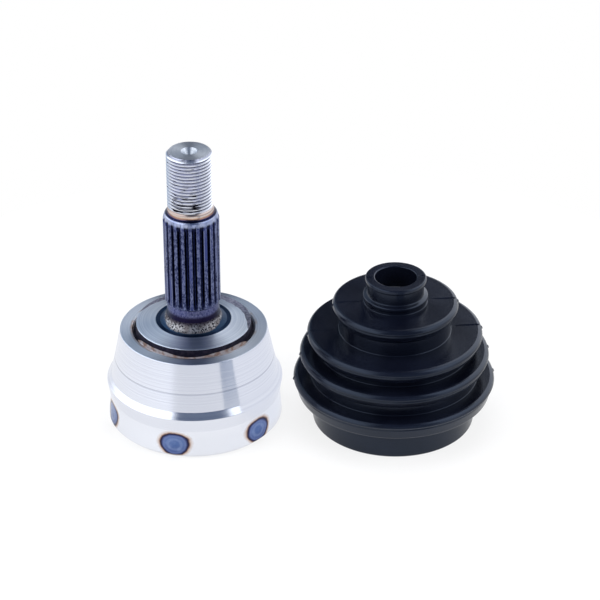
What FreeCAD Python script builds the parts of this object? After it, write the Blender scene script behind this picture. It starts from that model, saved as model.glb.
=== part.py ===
import FreeCAD, Part
import math
import os

# Fixed constant velocity joint (six-ball Rzeppa type) for the wheel end of a driveshaft, with its
# rubber boot beside it. Millimetres. The joint stands mouth down on z = 0 with its axis on Z and
# its splined, threaded stub pointing up, and the boot stands on its large collar towards +X.

V = FreeCAD.Vector
UP = V(0, 0, 1)

# ball mechanism
BALL_DIAMETER = 15.875
BALL_COUNT = 6
PITCH_RADIUS = 26.6          # ball centre to joint axis, joint straight
JOINT_CENTRE_Z = 14.5        # joint centre above the mouth face
TRACK_OFFSET = 2.0           # each track arc's centre lies this far from the joint centre, on the axis
FIRST_TRACK_ANGLE = -104.5   # degrees about Z, from +X
TRACK_CLEARANCE = 0.1        # ball to track, radial
WINDOW_CLEARANCE = 0.22      # ball to cage window, along the cage axis
GUIDE_CLEARANCE = 0.06       # cage to its two spherical guides, radial

# cage and inner race
CAGE_SPHERE = 29.94
CAGE_INNER_SPHERE = 25.3
CAGE_HALF_WIDTH = 11.6
WINDOW_LENGTH = 19.2
WINDOW_CORNER = 3.2
RACE_HALF_WIDTH = 10.0

# outer race: bell
MOUTH_RADIUS = 38.6
CREST_RADIUS = 38.95
BELL_HEIGHT = 44.1
BACK_EDGE_RADIUS = 32.4
MOUTH_CONE = 2.2             # depth of the 45 degree cone at the mouth
CAVITY_ROOF_Z = 39.4

# outer race: stub
SEAT_Z = 48.4                # flat face that the wheel bearing's inner ring bears on
SEAT_INNER_RADIUS = 13.3
SEAT_OUTER_RADIUS = 16.6
SPLINE_TEETH = 22
SPLINE_RADIUS = 12.17        # 24/48 diametral pitch
SPLINE_ROOT = 10.8
SPLINE_START_Z = 58.6        # where the tooth spaces run out, above the seat
SPLINE_FULL_Z = 62.0         # full depth from here up
SPLINE_TOP_Z = 95.9
SHANK_RADIUS = 9.9
SHANK_START_Z = 101.9
THREAD_RADIUS = 10.0         # M20 x 1.5
THREAD_START_Z = 107.0
END_Z = 130.2
END_CHAMFER = 1.2
CENTRE_DRILL_RADIUS = 3.5
CENTRE_HOLE_RADIUS = 1.25

# inner race bore: 20 teeth, 24/48 diametral pitch, and the retaining ring that holds the driveshaft
BORE_TEETH = 20
BORE_RADIUS = 10.05
BORE_ROOT = 11.3
RING_GROOVE_RADIUS = 12.3
RING_GROOVE_WIDTH = 1.7
RING_LIP = 1.5               # race end face to groove
RING_THICKNESS = 1.6
RING_RADIAL_WIDTH = 1.7
RING_GAP_ANGLE = 44.0

# boot
BOOT_X = 88.4
BOOT_Y = -2.0
BOOT_WALL = 2.6
BOOT_HEIGHT = 70.2
COLLAR_RADIUS = 35.9         # large collar, outside
COLLAR_BORE = 33.4
COLLAR_TOP_Z = 11.0
SHAFT_SEAT_BORE = 9.1
SHAFT_SEAT_RADIUS = 12.4
SHAFT_LIP_RADIUS = 13.3
# folds from the top down: neck radius above the fold, crest radius, z of its flat top, depth of its edge
FOLDS = (
    (13.8, 27.6, 58.0, 4.8),
    (24.6, 38.6, 44.0, 4.6),
    (33.4, 41.8, 34.0, 5.0),
    (37.0, 44.6, 21.6, 6.6),
)

BALL_RADIUS = BALL_DIAMETER / 2
TRACK_RADIUS = BALL_RADIUS + TRACK_CLEARANCE
TRACK_ARC = math.hypot(PITCH_RADIUS, TRACK_OFFSET)
CAVITY_SPHERE = CAGE_SPHERE + GUIDE_CLEARANCE
RACE_SPHERE = CAGE_INNER_SPHERE - GUIDE_CLEARANCE
TRACK_ANGLES = [FIRST_TRACK_ANGLE + k * 360 / BALL_COUNT for k in range(BALL_COUNT)]


def on_circle(radius, angle, z=0.0):
    """Point at a radius and a polar angle in degrees about Z."""
    turn = math.radians(angle)
    return V(radius * math.cos(turn), radius * math.sin(turn), z)


def sphere_radius(sphere, height):
    """Radius of a sphere's section at a height from its centre."""
    return math.sqrt(sphere * sphere - height * height)


def corner(before, point, after, radius):
    """Start, middle and end of the arc that rounds a corner of an outline."""
    u = (before - point).normalize()
    w = (after - point).normalize()
    half = u.getAngle(w) / 2
    reach = radius / math.tan(half)
    bisector = (u + w).normalize()
    middle = point + bisector * (radius / math.sin(half) - radius)
    return point + u * reach, middle, point + w * reach


def outline(points):
    """Closed wire in the XZ plane through (r, z, corner radius) points."""
    places = [V(r, 0, z) for r, z, _ in points]
    count = len(points)
    corners = []
    for i, (_, _, radius) in enumerate(points):
        if radius > 0:
            corners.append(corner(places[i - 1], places[i], places[(i + 1) % count], radius))
        else:
            corners.append((places[i], None, places[i]))
    edges = []
    for i, (start, middle, end) in enumerate(corners):
        if middle is not None:
            edges.append(Part.Arc(start, middle, end).toShape())
        following = corners[(i + 1) % count][0]
        if end.distanceToPoint(following) > 1e-6:
            edges.append(Part.LineSegment(end, following).toShape())
    return Part.Wire(edges)


def turned(wire):
    """Solid of revolution of a closed wire about Z."""
    return Part.Face(wire).revolve(V(0, 0, 0), UP, 360)


def placed(shape, angle):
    """Copy of a shape turned about Z."""
    copy = shape.copy()
    copy.rotate(V(0, 0, 0), UP, angle)
    return copy


def track_cutter(centre_z, low, high):
    """Ball track in the plane of angle 0: a ball-sized tube swept on an arc about (0, 0, centre_z)."""
    centre = V(0, 0, centre_z)
    start = centre + V(TRACK_ARC * math.cos(low), 0, TRACK_ARC * math.sin(low))
    along = V(-math.sin(low), 0, math.cos(low))
    section = Part.Face(Part.Wire(Part.makeCircle(TRACK_RADIUS, start, along)))
    tube = section.revolve(centre, V(0, -1, 0), math.degrees(high - low))
    end = centre + V(TRACK_ARC * math.cos(high), 0, TRACK_ARC * math.sin(high))
    return tube.fuse(Part.makeSphere(TRACK_RADIUS, end))


def spline_space(inner, outer, inner_width, outer_width, low, high):
    """One tooth space at angle 0: a prism with a trapezoid section that narrows towards one side."""
    section = Part.makePolygon([
        V(inner, -inner_width / 2, low),
        V(outer, -outer_width / 2, low),
        V(outer, outer_width / 2, low),
        V(inner, inner_width / 2, low),
        V(inner, -inner_width / 2, low),
    ])
    return Part.Face(section).extrude(V(0, 0, high - low))


def bell_and_stub():
    """Outside of the outer race, from the mouth up to the end of the thread."""
    return turned(outline([
        (0, 0, 0),
        (MOUTH_RADIUS - 1.7, 0, 0),
        (MOUTH_RADIUS, 1.9, 0.4),
        (37.85, 10.2, 3.0),
        (37.85, 12.5, 0),
        (CREST_RADIUS, 19.6, 0.5),
        (37.0, 22.5, 0.9),
        (35.2, 30.6, 0),
        (BACK_EDGE_RADIUS, BELL_HEIGHT, 0.3),
        (26.7, BELL_HEIGHT, 0),
        (26.2, 42.9, 0.4),
        (25.5, 42.9, 0.2),
        (25.2, 47.3, 0),
        (SEAT_OUTER_RADIUS, SEAT_Z - 0.1, 0),
        (SEAT_OUTER_RADIUS, SEAT_Z, 0),
        (SEAT_INNER_RADIUS, SEAT_Z, 0),
        (SPLINE_RADIUS, 51.6, 2.0),
        (SPLINE_RADIUS, SPLINE_TOP_Z, 0),
        (SHANK_RADIUS + 0.3, SHANK_START_Z, 0),
        (SHANK_RADIUS, SHANK_START_Z + 0.6, 0),
        (SHANK_RADIUS, THREAD_START_Z, 0),
        (THREAD_RADIUS, THREAD_START_Z, 0),
        (THREAD_RADIUS, END_Z - END_CHAMFER, 0),
        (THREAD_RADIUS - END_CHAMFER, END_Z, 0),
        (CENTRE_DRILL_RADIUS, END_Z, 0),
        (CENTRE_HOLE_RADIUS, END_Z - 3.9, 0),
        (CENTRE_HOLE_RADIUS, END_Z - 7.5, 0),
        (0, END_Z - 8.2, 0),
    ]))


def bell_cavity():
    """Space inside the bell: mouth cone, spherical guide for the cage, and roof."""
    guide_low = MOUTH_CONE - JOINT_CENTRE_Z
    guide_high = 22.1
    low_radius = sphere_radius(CAVITY_SPHERE, guide_low)
    high_radius = sphere_radius(CAVITY_SPHERE, guide_high)
    below = V(low_radius + MOUTH_CONE + 1, 0, -1)
    low = V(low_radius, 0, MOUTH_CONE)
    equator = V(CAVITY_SPHERE, 0, JOINT_CENTRE_Z)
    high = V(high_radius, 0, JOINT_CENTRE_Z + guide_high)
    shoulder = V(12.5, 0, CAVITY_ROOF_Z)
    points = [high, shoulder, V(3.2, 0, CAVITY_ROOF_Z), V(0, 0, CAVITY_ROOF_Z + 1.6), V(0, 0, -1), below]
    edges = [Part.LineSegment(a, b).toShape() for a, b in zip(points, points[1:])]
    edges.append(Part.LineSegment(below, low).toShape())
    edges.append(Part.Arc(low, equator, high).toShape())
    return turned(Part.Wire(edges))


def stub_splines():
    """Tooth spaces of the stub: trapezoid prisms kept to the part outside a root that runs out below."""
    clear = SPLINE_RADIUS + 1
    root = turned(outline([
        (SPLINE_ROOT, SPLINE_FULL_Z, 4.0),
        (SPLINE_RADIUS + 0.4, SPLINE_START_Z - 1.0, 0),
        (clear, SPLINE_START_Z - 1.0, 0),
        (clear, SHANK_START_Z, 0),
        (SPLINE_ROOT, SHANK_START_Z, 0),
    ]))
    space = spline_space(SPLINE_ROOT - 0.2, clear, 0.35, 3.3, SPLINE_START_Z - 2, SHANK_START_Z)
    pitch = 360 / SPLINE_TEETH
    spaces = Part.makeCompound([placed(space, (k + 0.5) * pitch) for k in range(SPLINE_TEETH)])
    return root.common(spaces)


def outer_race():
    """Bell with six ball tracks, and the stub with its splines: one forging."""
    track = track_cutter(JOINT_CENTRE_Z - TRACK_OFFSET, math.radians(-54), math.radians(42))
    body = bell_and_stub().cut(bell_cavity())
    body = body.cut([placed(track, angle) for angle in TRACK_ANGLES])
    return body.cut(stub_splines())


def window_cutter():
    """One cage window in the direction of angle 0: a slot with rounded corners, cut radially."""
    half_length = WINDOW_LENGTH / 2
    half_height = BALL_RADIUS + WINDOW_CLEARANCE
    start = CAGE_INNER_SPHERE - 6
    corners = [
        V(start, -half_length, -half_height),
        V(start, half_length, -half_height),
        V(start, half_length, half_height),
        V(start, -half_length, half_height),
    ]
    edges = []
    for i, point in enumerate(corners):
        first, middle, last = corner(corners[i - 1], point, corners[(i + 1) % 4], WINDOW_CORNER)
        following = corners[(i + 1) % 4]
        beyond = corner(point, following, corners[(i + 2) % 4], WINDOW_CORNER)[0]
        edges.append(Part.Arc(first, middle, last).toShape())
        edges.append(Part.LineSegment(last, beyond).toShape())
    slot = Part.Face(Part.Wire(edges)).extrude(V(CAGE_SPHERE - start + 1, 0, 0))
    slot.translate(V(0, 0, JOINT_CENTRE_Z))
    return slot


def spherical_ring(outer, inner, half_width, edge_chamfer):
    """Ring about the joint centre with a spherical outside, and a spherical or straight inside."""
    rim = sphere_radius(outer, half_width - edge_chamfer)
    top = V(rim - edge_chamfer, 0, half_width)
    high = V(rim, 0, half_width - edge_chamfer)
    low = V(rim, 0, edge_chamfer - half_width)
    bottom = V(rim - edge_chamfer, 0, -half_width)
    inner_top = V(inner(half_width), 0, half_width)
    inner_middle = V(inner(0), 0, 0)
    inner_bottom = V(inner(half_width), 0, -half_width)
    edges = [
        Part.LineSegment(inner_bottom, bottom).toShape(),
        Part.LineSegment(bottom, low).toShape(),
        Part.Arc(low, V(outer, 0, 0), high).toShape(),
        Part.LineSegment(high, top).toShape(),
        Part.LineSegment(top, inner_top).toShape(),
    ]
    if inner(0) - inner(half_width) > 1e-6:
        edges.append(Part.Arc(inner_top, inner_middle, inner_bottom).toShape())
    else:
        edges.append(Part.LineSegment(inner_top, inner_bottom).toShape())
    ring = turned(Part.Wire(edges))
    ring.translate(V(0, 0, JOINT_CENTRE_Z))
    return ring


def cage():
    """Spherical ring with one window for each ball."""
    ring = spherical_ring(
        CAGE_SPHERE, lambda height: sphere_radius(CAGE_INNER_SPHERE, height), CAGE_HALF_WIDTH, 0.4)
    window = window_cutter()
    return ring.cut([placed(window, angle) for angle in TRACK_ANGLES])


def inner_race():
    """Inner race: spherical outside with six tracks, splined bore, ring groove near its mouth-side end."""
    race = spherical_ring(RACE_SPHERE, lambda height: BORE_RADIUS, RACE_HALF_WIDTH, 0.5)
    track = track_cutter(JOINT_CENTRE_Z + TRACK_OFFSET, math.radians(-65), math.radians(55))
    race = race.cut([placed(track, angle) for angle in TRACK_ANGLES])
    low = JOINT_CENTRE_Z - RACE_HALF_WIDTH
    high = JOINT_CENTRE_Z + RACE_HALF_WIDTH
    space = spline_space(BORE_RADIUS - 1, BORE_ROOT, 3.3, 1.0, low - 1, high + 1)
    race = race.cut([placed(space, k * 360 / BORE_TEETH) for k in range(BORE_TEETH)])
    groove = Part.makeCylinder(RING_GROOVE_RADIUS, RING_GROOVE_WIDTH, V(0, 0, low + RING_LIP))
    lead_in = Part.makeCone(BORE_ROOT + 0.9, BORE_RADIUS, 2.15, V(0, 0, high), V(0, 0, -1))
    lip_lead_in = Part.makeCone(BORE_ROOT + 0.5, BORE_ROOT - 0.5, 1.0, V(0, 0, low), UP)
    return race.cut([groove, lead_in, lip_lead_in])


def retaining_ring():
    """Open snap ring in the inner race's groove, with a drilled ear at each end for ring pliers."""
    outer = RING_GROOVE_RADIUS - 0.05
    base = JOINT_CENTRE_Z - RACE_HALF_WIDTH + RING_LIP
    ring = Part.makeCylinder(outer, RING_THICKNESS, V(0, 0, base))
    ring = ring.cut(Part.makeCylinder(outer - RING_RADIAL_WIDTH, RING_THICKNESS, V(0, 0, base)))
    gap = Part.makeCylinder(outer + 1, RING_THICKNESS, V(0, 0, base), UP, RING_GAP_ANGLE)
    gap.rotate(V(0, 0, 0), UP, -90 - RING_GAP_ANGLE / 2)
    ring = ring.cut(gap)
    ear_radius = 1.9
    ear_offset = RING_GAP_ANGLE / 2 + 6
    ear_place = outer - RING_RADIAL_WIDTH - 0.7
    for side in (-1, 1):
        place = on_circle(ear_place, -90 + side * ear_offset, base)
        ring = ring.fuse(Part.makeCylinder(ear_radius, RING_THICKNESS, place))
        ring = ring.cut(Part.makeCylinder(0.8, RING_THICKNESS, place))
    return ring.removeSplitter()


def ball(angle):
    """One ball, at the place that it has when the joint is straight."""
    return Part.makeSphere(BALL_RADIUS, on_circle(PITCH_RADIUS, angle, JOINT_CENTRE_Z))


def fold_outside(neck, crest, top, depth, next_neck):
    """Outside of one fold, from its flat top down and back in to the neck below it."""
    return [
        (neck, top, 0.3),
        (crest - 0.2, top, 1.3),
        (crest, top - 0.55 * depth, 1.5),
        (crest - 1.0, top - depth, 1.2),
        (next_neck, top - depth - 1.4, 0.8),
    ]


def fold_inside(neck, crest, top, depth, next_neck):
    """Inside of the same fold, one wall thickness in."""
    return [
        (neck - BOOT_WALL, top - BOOT_WALL, 1.0),
        (crest - BOOT_WALL, top - BOOT_WALL, 1.0),
        (crest - BOOT_WALL - 1.0, top - depth, 0.6),
        (next_neck - BOOT_WALL, top - depth - 1.4, 0.8),
    ]


def boot():
    """Moulded rubber bellows: shaft seat, four folds that widen downwards, and the large collar."""
    top = BOOT_HEIGHT
    outside = [
        (SHAFT_SEAT_BORE, top, 0.5),
        (SHAFT_LIP_RADIUS, top, 0.7),
        (SHAFT_LIP_RADIUS, top - 1.8, 0.4),
        (SHAFT_SEAT_RADIUS, top - 2.3, 0.4),
        (SHAFT_SEAT_RADIUS, 62.4, 0.4),
        (14.2, 61.6, 0.6),
        (14.2, 60.3, 0.5),
        (13.8, 59.8, 0.3),
    ]
    inside = []
    next_necks = [fold[0] for fold in FOLDS[1:]] + [COLLAR_RADIUS]
    for fold, next_neck in zip(FOLDS, next_necks):
        outside += fold_outside(*fold, next_neck)
        inside += fold_inside(*fold, next_neck)
    outside += [
        (COLLAR_RADIUS, 0, 0.8),
        (COLLAR_BORE, 0, 0.5),
    ]
    inside[0] = (SHAFT_SEAT_BORE + 1.6, inside[0][1], 1.0)
    inside[-1] = (COLLAR_BORE - 1.2, inside[-1][1], 0.6)
    inside.append((COLLAR_BORE, COLLAR_TOP_Z - 2.4, 0.6))
    inside.insert(0, (SHAFT_SEAT_BORE, 60.2, 0.8))
    shell = turned(outline(outside + inside[::-1]))
    shell.translate(V(BOOT_X, BOOT_Y, 0))
    return shell


def export(name, shape):
    """Check one solid and write it."""
    solid = shape.Solids[0]
    if len(shape.Solids) != 1 or not solid.isValid():
        raise ValueError(name + " is not one valid solid")
    solid.exportStep("parts/" + name + ".step")
    print(name, "faces", len(solid.Faces), "volume", round(solid.Volume, 1))


def main():
    os.makedirs("parts", exist_ok=True)
    export("outer_race", outer_race())
    export("cage", cage())
    export("inner_race", inner_race())
    export("retaining_ring", retaining_ring())
    for number, angle in enumerate(TRACK_ANGLES, start=1):
        export("ball_" + str(number), ball(angle))
    export("boot", boot())


main()
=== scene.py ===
# %% [markdown]
# # A constant velocity joint and its rubber boot
# The steel joint stands on its open mouth with the splined and threaded stub pointing up. Beside it
# stands the bellows boot that keeps its grease in. Every new surface below is worked out with numpy as
# a grid of points: a profile in (radius, height) carried round the Z axis, with whatever the real
# tool cut into it - splines, ball tracks, a thread - added as a change of radius over the grid.

import bmesh
import bpy
import numpy as np
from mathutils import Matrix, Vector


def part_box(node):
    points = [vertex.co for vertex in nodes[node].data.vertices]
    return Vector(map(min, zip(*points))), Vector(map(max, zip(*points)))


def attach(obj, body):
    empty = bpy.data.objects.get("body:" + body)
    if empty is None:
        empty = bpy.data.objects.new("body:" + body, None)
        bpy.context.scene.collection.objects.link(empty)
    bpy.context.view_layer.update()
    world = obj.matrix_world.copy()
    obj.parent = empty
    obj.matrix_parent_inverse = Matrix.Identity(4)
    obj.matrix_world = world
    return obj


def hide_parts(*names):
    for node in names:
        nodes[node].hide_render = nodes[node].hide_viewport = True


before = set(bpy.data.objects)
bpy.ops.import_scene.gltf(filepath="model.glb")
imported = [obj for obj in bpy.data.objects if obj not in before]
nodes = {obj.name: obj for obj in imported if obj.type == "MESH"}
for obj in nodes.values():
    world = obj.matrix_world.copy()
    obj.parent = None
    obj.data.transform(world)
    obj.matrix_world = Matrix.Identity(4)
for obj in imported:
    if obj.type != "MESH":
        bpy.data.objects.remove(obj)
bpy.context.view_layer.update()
MM = 0.001
print("CAD nodes:", sorted(nodes))

# %% [markdown]
# ## From outline to mesh
# A turned part is drawn the way a turner reads it: corners with a radius each. The first helper
# turns such corners into a polyline with true arcs. The second puts a guard point close to both ends
# of every straight stretch, so that smooth shading stays on the arcs and the flats shade flat. A Bevel
# modifier could round the corners too, but it would round the spline and the thread with them.

# %% Outline helpers
GUARD = 0.12


def rounded(corners, steps=5):
    """Polyline through (r, z, corner radius) corners.

    Each arc touches both of its sides: it starts radius / tan(half angle) before the corner, and its
    centre lies on the bisector, radius / sin(half angle) from the corner. A radius of 0 stays sharp.
    """
    place = np.array([c[:2] for c in corners], float)
    line = [place[:1]]
    for before, point, after, corner in zip(place, place[1:], place[2:], corners[1:]):
        if corner[2] == 0:
            line.append(point[None])
            continue
        u = (before - point) / np.linalg.norm(before - point)
        w = (after - point) / np.linalg.norm(after - point)
        half = np.arccos(np.clip(u @ w, -1, 1)) / 2
        radius = corner[2]
        bisector = (u + w) / np.linalg.norm(u + w)
        centre = point + bisector * radius / np.sin(half)
        start = point + u * radius / np.tan(half) - centre
        end = point + w * radius / np.tan(half) - centre
        turn = np.arctan2(start[0] * end[1] - start[1] * end[0], start @ end)
        t = np.linspace(0, turn, steps)[:, None]
        side = np.array([-start[1], start[0]])
        line.append(centre + np.cos(t) * start + np.sin(t) * side)
    line.append(place[-1:])
    return np.concatenate(line)


def guarded(line, spacing=99.0):
    """The same polyline with guard points in its long stretches, and none longer than the spacing."""
    out = [line[:1]]
    for a, b in zip(line, line[1:]):
        length = np.linalg.norm(b - a)
        if length < 1e-6:
            continue
        inner = np.arange(1, int(np.ceil(length / spacing))) / np.ceil(length / spacing)
        if length > 4 * GUARD:
            inner = np.concatenate([[GUARD / length], inner, [1 - GUARD / length]])
        out.append(a + np.unique(inner)[:, None] * (b - a))
        out.append(b[None])
    return np.concatenate(out)


bend = rounded([(0, 0, 0), (10, 0, 2), (10, 10, 0)])
print("a rounded bend:", len(bend), "points, guarded:", len(guarded(bend)))


# %% [markdown]
# A grid of points becomes a mesh by joining each point to its neighbours. The columns run once round
# the axis and close on themselves. At the axis a whole row falls on one point, and there the doubles
# are merged, so that poles and seams are truly closed. Edges sharper than a limit are marked sharp.
# The Spin and Screw tools turn a profile too, but they can't change single points of it on the way.

# %% Grid to mesh


def grid_mesh(name, xyz, step_in_row=None, closed_rows=False, row_material=None, sharp=30.0):
    """Mesh of a grid of points [row, column, xyz] that closes on itself round the columns.

    step_in_row[i] is the row that row i meets after one full turn, which is itself except on a thread.
    """
    rows, columns = xyz.shape[:2]
    partner = np.arange(rows) if step_in_row is None else step_in_row
    low = np.arange(rows if closed_rows else rows - 1)
    high = (low + 1) % rows
    i, j = np.meshgrid(low, np.arange(columns), indexing="ij")
    i_up = np.broadcast_to(high[:, None], i.shape)
    last = j == columns - 1
    j_next = np.where(last, 0, j + 1)
    i_next = np.where(last, partner[i], i)
    i_up_next = np.where(last, partner[i_up], i_up)
    corners = [(i, j), (i_next, j_next), (i_up_next, j_next), (i_up, j)]
    faces = np.stack([row * columns + column for row, column in corners], axis=-1)
    mesh = bpy.data.meshes.new(name)
    mesh.from_pydata(xyz.reshape(-1, 3) * MM, [], faces.reshape(-1, 4))
    if row_material is not None:
        by_face = np.repeat(row_material[low], columns).astype(np.int32)
        mesh.polygons.foreach_set("material_index", by_face)
    return finish_mesh(name, mesh, sharp)


def in_scene(name, data):
    """A new object with this data, linked to the scene."""
    made = bpy.data.objects.new(name, data)
    bpy.context.scene.collection.objects.link(made)
    return made


def finish_mesh(name, mesh, sharp):
    """Merges doubles, shades smooth up to the sharp angle, and makes the object."""
    work = bmesh.new()
    work.from_mesh(mesh)
    bmesh.ops.remove_doubles(work, verts=work.verts, dist=2e-7)
    bmesh.ops.dissolve_degenerate(work, edges=work.edges, dist=1e-7)
    work.to_mesh(mesh)
    work.free()
    mesh.polygons.foreach_set("use_smooth", np.ones(len(mesh.polygons), bool))
    mesh.set_sharp_from_angle(angle=np.radians(sharp))
    print(name, len(mesh.polygons), "faces")
    return in_scene(name, mesh)


def turned_grid(radius, height, angle):
    """Points at (radius, angle, height), each an array [row, column] or one that spreads to it."""
    radius, height, angle = np.broadcast_arrays(radius, height, angle)
    return np.stack([radius * np.cos(angle), radius * np.sin(angle), height], axis=-1)


# %% [markdown]
# ## The outer race
# Bell and stub are one forging. It was turned, its spline rolled, its thread rolled, and its six ball
# tracks milled and hardened from inside. It could be a turned solid with its tracks cut by booleans,
# but booleans leave slivers that shade badly on bright steel. So the mesh is one closed grid: it starts
# on the axis at the cavity's roof, comes down inside, turns round the mouth, goes up outside, and ends
# on the axis in the centre drilling.

# %% Driving sizes of the outer race, in millimetres
JOINT_Z = 14.5
TRACK_CENTRE_Z = JOINT_Z - 2.0
TRACK_ARC = np.hypot(26.6, 2.0)
TRACK_TUBE = 15.875 / 2 + 0.1
TRACK_LOW, TRACK_HIGH = np.radians(-54), np.radians(42)
TRACK_FIRST = np.radians(-104.5)
CAVITY_SPHERE = 30.0
FACE_Z, GROOVE_Z, DISC_Z = 44.1, 42.9, 47.3
DISC_RADIUS, SEAT_RADIUS, FILLET_RADIUS, NECK_RADIUS = 25.2, 16.6, 14.7, 11.35
SPLINE_TEETH = 22
SPLINE_RADIUS, SPLINE_ROOT = 12.17, 10.8
PITCH = 1.5
THREAD_LOW, THREAD_TOP = 103.6, 130.2
THREAD_RADIUS, THREAD_DEPTH, END_CHAMFER = 10.0, 0.92, 1.2

INSIDE_TOP = [(0, 41.0, 0), (3.2, 39.4, 0.3), (12.5, 39.4, 0.8), (20.29, 36.6, 0)]
OUTSIDE = [
    (33.4, 0, 0),
    (36.9, 0, 0.25),
    (38.6, 1.9, 0.4),
    (37.85, 10.2, 3.0),
    (37.85, 12.5, 0.3),
    (38.95, 19.6, 0.5),
    (37.0, 22.5, 0.9),
    (35.2, 30.6, 0.12),
    (32.4, FACE_Z, 0.3),
    (27.3, FACE_Z, 0.1),
    (26.4, 43.4, 0.1),
    (26.2, GROOVE_Z, 0.3),
    (25.5, GROOVE_Z, 0.2),
    (DISC_RADIUS, DISC_Z, 0.25),
    (SEAT_RADIUS, 48.3, 0),
    (SEAT_RADIUS, 48.4, 0),
    (FILLET_RADIUS, 48.4, 0),
    (13.1, 49.2, 1.5),
    (11.7, 51.9, 3.0),
    (NECK_RADIUS, 56.0, 2.0),
    (NECK_RADIUS, 58.3, 0.2),
    (SPLINE_RADIUS, 59.0, 0.25),
    (SPLINE_RADIUS, 98.4, 1.4),
    (11.4, 101.0, 1.2),
    (10.2, 102.1, 0.3),
    (9.95, 102.4, 0),
    (THREAD_RADIUS, THREAD_LOW, 0),
]
END = [
    (THREAD_RADIUS - END_CHAMFER, THREAD_TOP, 0),
    (3.5, THREAD_TOP, 0.12),
    (1.25, 126.3, 0),
    (1.25, 122.7, 0),
    (0, 122.0, 0),
]
print("outer race:", len(OUTSIDE), "corners outside, thread", THREAD_LOW, "to", THREAD_TOP)


# %% [markdown]
# A ball track is a tube on an arc. Seen from the axis at an angle delta beside the track's own plane,
# its far wall is the largest radius at which a point still lies inside the tube. There is no neat
# formula for that, so halving the interval forty times finds it for all points at once.

# %% Ball tracks
HALVINGS = 40
DEEPEST, WIDEST = 18.0, np.radians(25)


def inside_track(radius, delta, z):
    """True where (radius, delta, z) is inside the tube on the arc, or in the ball end of it."""
    a, b, h = radius * np.cos(delta), radius * np.sin(delta), z - TRACK_CENTRE_Z
    along = np.arctan2(h, a)
    off_arc = np.hypot(np.hypot(a, h) - TRACK_ARC, b) < TRACK_TUBE
    end_a, end_h = TRACK_ARC * np.cos(TRACK_HIGH), TRACK_ARC * np.sin(TRACK_HIGH)
    in_ball = np.sqrt((a - end_a) ** 2 + b**2 + (h - end_h) ** 2) < TRACK_TUBE
    return (off_arc & (along > TRACK_LOW) & (along < TRACK_HIGH)) | in_ball


def track_wall(delta, z, start):
    """Largest radius inside the track from the start radius outwards, or the start where it has none."""
    low = np.broadcast_to(start, np.broadcast(delta, z, start).shape).copy()
    high = low + DEEPEST
    within = inside_track(low, delta, z)
    for _ in range(HALVINGS):
        middle = (low + high) / 2
        hit = inside_track(middle, delta, z)
        low = np.where(hit, middle, low)
        high = np.where(hit, high, middle)
    return np.where(within, low, start)


def track_half_angle(z, start):
    """Angle from the track's plane at which its wall meets the start radius, for each height."""
    low, high = np.zeros_like(z), np.full_like(z, WIDEST)
    for _ in range(HALVINGS):
        middle = (low + high) / 2
        hit = inside_track(start, middle, z)
        low = np.where(hit, middle, low)
        high = np.where(hit, high, middle)
    return low


print("a track's arc has radius", TRACK_ARC.round(2), "and its tube", TRACK_TUBE)

# %% [markdown]
# The columns of the grid are placed where the edges are. Inside, 26 steps span each track and 18 the
# land beside it, and they slide from row to row so that the track's edge always falls on a column.
# Outside, each of the 22 teeth gets twelve columns, close together where crest, flank and root meet.
# Six sectors of 44 and 22 teeth of 12 are both 264 columns.

# %% Columns
SECTOR_COLUMNS, TRACK_STEPS = 44, 26
COLUMNS = 6 * SECTOR_COLUMNS
half_tooth = np.pi / SPLINE_TEETH
space_side = np.radians([1.54, 3.4, 4.75, 5.35, 6.7])
space_offsets = np.concatenate([[0], space_side, [half_tooth], 2 * half_tooth - space_side[::-1]])
first_space = -7 * 2 * half_tooth
spline_angles = (first_space + 2 * half_tooth * np.arange(SPLINE_TEETH)[:, None] + space_offsets).ravel()
print("columns:", len(spline_angles), "=", COLUMNS)


def sector_angles(half):
    """Offsets from a track's plane for one sector, for each row's half angle of the track."""
    in_track = np.linspace(-1, 1, TRACK_STEPS + 1) * half[:, None]
    land = np.arange(1, SECTOR_COLUMNS - TRACK_STEPS) / (SECTOR_COLUMNS - TRACK_STEPS)
    return np.concatenate([in_track, half[:, None] + land * (np.pi / 3 - 2 * half[:, None])], axis=1)


# %% [markdown]
# The inside comes down from a flat roof over a spherical wall, which guides the cage, to a chamfer
# round the mouth. Rows that no track reaches take the half angle of the first row that one does.

# %% Inside rows
SPHERE_FROM, SPHERE_TO, SPHERE_ROWS = 47.45, -24.2, 38
CHAMFER_IN, CHAMFER_OUT, CHAMFER_HEIGHT = 27.5, 29.56, 2.06
sphere_turn = np.radians(np.linspace(SPHERE_FROM, SPHERE_TO, SPHERE_ROWS))
sphere_rows = np.stack(
    [CAVITY_SPHERE * np.cos(sphere_turn), JOINT_Z + CAVITY_SPHERE * np.sin(sphere_turn)], axis=1
)
roof_rows = guarded(rounded(INSIDE_TOP), 0.9)
mouth_rows = np.linspace((CHAMFER_IN, CHAMFER_HEIGHT), (CHAMFER_OUT, 0), 5)
inside = np.concatenate([roof_rows[:-1], sphere_rows, mouth_rows])
inside_r, inside_z = inside[:, :1], inside[:, 1:]
half_angle = track_half_angle(inside[:, 1], inside[:, 0])
reached = half_angle > np.radians(1.0)
half_angle[~reached] = half_angle[reached][0]
delta = sector_angles(half_angle)
wall = track_wall(delta, inside_z, inside_r)
sectors = TRACK_FIRST + np.arange(6)[:, None] * np.pi / 3
inside_angle = (sectors + delta[:, None, :]).reshape(len(delta), -1)
inside_radius = np.tile(wall, (1, 6))
print("inside rows:", len(inside), "deepest track wall:", inside_radius.max().round(2))

# %% [markdown]
# Outside, a spline is a limit on the radius: the flank of a tooth space is a straight line in the
# cross-section, and the root rises out of the spaces near both ends, where the tool ran out. Teeth as
# separate bars would have to be joined to the stub, and here they grow out of it.

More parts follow.
